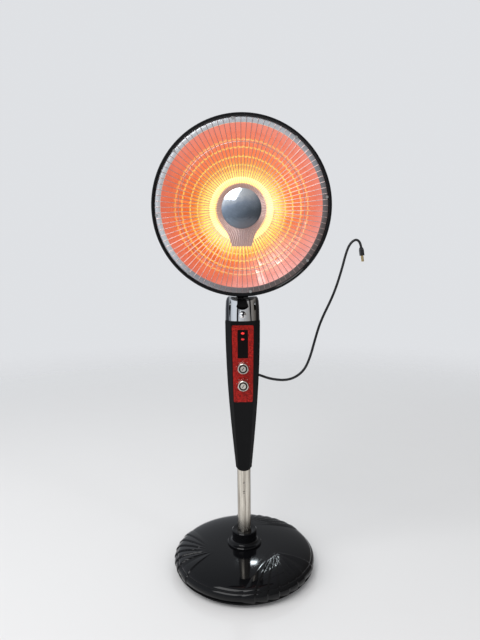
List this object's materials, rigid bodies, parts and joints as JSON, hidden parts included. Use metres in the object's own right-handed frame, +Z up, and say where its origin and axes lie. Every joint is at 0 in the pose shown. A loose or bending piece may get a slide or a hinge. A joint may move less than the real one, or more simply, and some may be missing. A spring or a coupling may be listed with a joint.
{
  "type": "pedestal dish heater",
  "caption": "Pedestal radiant heater: faceted dish with ring lamp and wire guard on a tilting, swinging neck, tapered control column, steel pole and pleated round base.",
  "frame": {"origin": "on the floor at the middle of the base, under the pole", "axes": "+Z up, the dish and the control panel face -Y, +X to the right as seen from the front"},
  "size_m": [0.4579, 0.3222, 0.919],
  "materials": {
    "gloss_black": "gloss",
    "satin_black": "satin",
    "black_metal": "semi-gloss",
    "iron": "rough",
    "rubber": "matte",
    "steel": "satin",
    "chrome": "polished",
    "chromed_plastic": "polished",
    "reflector": "bright",
    "red_panel": "gloss",
    "dark_window": "gloss",
    "red_lamp": "gloss",
    "quartz": "clear",
    "ceramic": "matte",
    "nylon": "matte",
    "board": "satin",
    "cord_black": "matte",
    "brass": "satin"
  },
  "bodies": {
    "base": {"base_cover": "gloss_black", "base_pan": "satin_black", "weight_plate": "iron", "rubber_feet": "rubber", "base_screws": "steel", "pole": "steel", "pole_insert": "steel", "pole_bolt": "steel", "pole_collar": "gloss_black"},
    "column": {"column_front": "satin_black", "column_rear": "satin_black", "column_screws": "steel", "pole_bush": "nylon", "control_panel": "red_panel", "window_lens": "dark_window", "upper_indicator": "red_lamp", "lower_indicator": "red_lamp", "control_board": "board", "power_switch": "nylon", "timer_unit": "nylon", "tip_over_switch": "satin_black", "swing_motor": "steel", "cord_gland": "cord_black", "power_cord": "cord_black", "plug_body": "cord_black", "plug_pins": "brass"},
    "power_dial": {"power_knob": "chromed_plastic", "power_shaft": "steel"},
    "timer_dial": {"timer_knob": "chromed_plastic", "timer_shaft": "steel"},
    "neck": {"neck_front": "chromed_plastic", "neck_rear": "chromed_plastic", "neck_screws": "steel", "tilt_pin": "steel", "swing_shaft": "steel"},
    "head": {"tilt_knuckle": "satin_black", "rear_housing": "black_metal", "rim_ring": "gloss_black", "wire_guard": "chrome", "guard_screws": "steel", "badge": "chromed_plastic", "reflector": "reflector", "shield": "chrome", "shield_post": "steel", "lamp_tube": "quartz", "left_lamp_holder": "ceramic", "right_lamp_holder": "ceramic", "thermal_cutout": "ceramic", "terminal_block": "nylon"}
  },
  "joints": [
    {"name": "height_slide", "type": "slide", "parent": "base", "child": "column", "axis": [0, 0, 1], "range_m": [-0.045, 0.045]},
    {"name": "power_turn", "type": "hinge", "parent": "column", "child": "power_dial", "pos_m": [0, -0.03, 0.435], "axis": [0, -1, 0], "range_deg": [-90, 45]},
    {"name": "timer_turn", "type": "hinge", "parent": "column", "child": "timer_dial", "pos_m": [0, -0.03, 0.4], "axis": [0, -1, 0], "range_deg": [-150, 150]},
    {"name": "head_swing", "type": "hinge", "parent": "column", "child": "neck", "pos_m": [0, 0, 0.528], "axis": [0, 0, 1], "range_deg": [-40, 40]},
    {"name": "head_tilt", "type": "hinge", "parent": "neck", "child": "head", "pos_m": [0, 0, 0.562], "axis": [1, 0, 0], "range_deg": [-25, 15]}
  ]
}
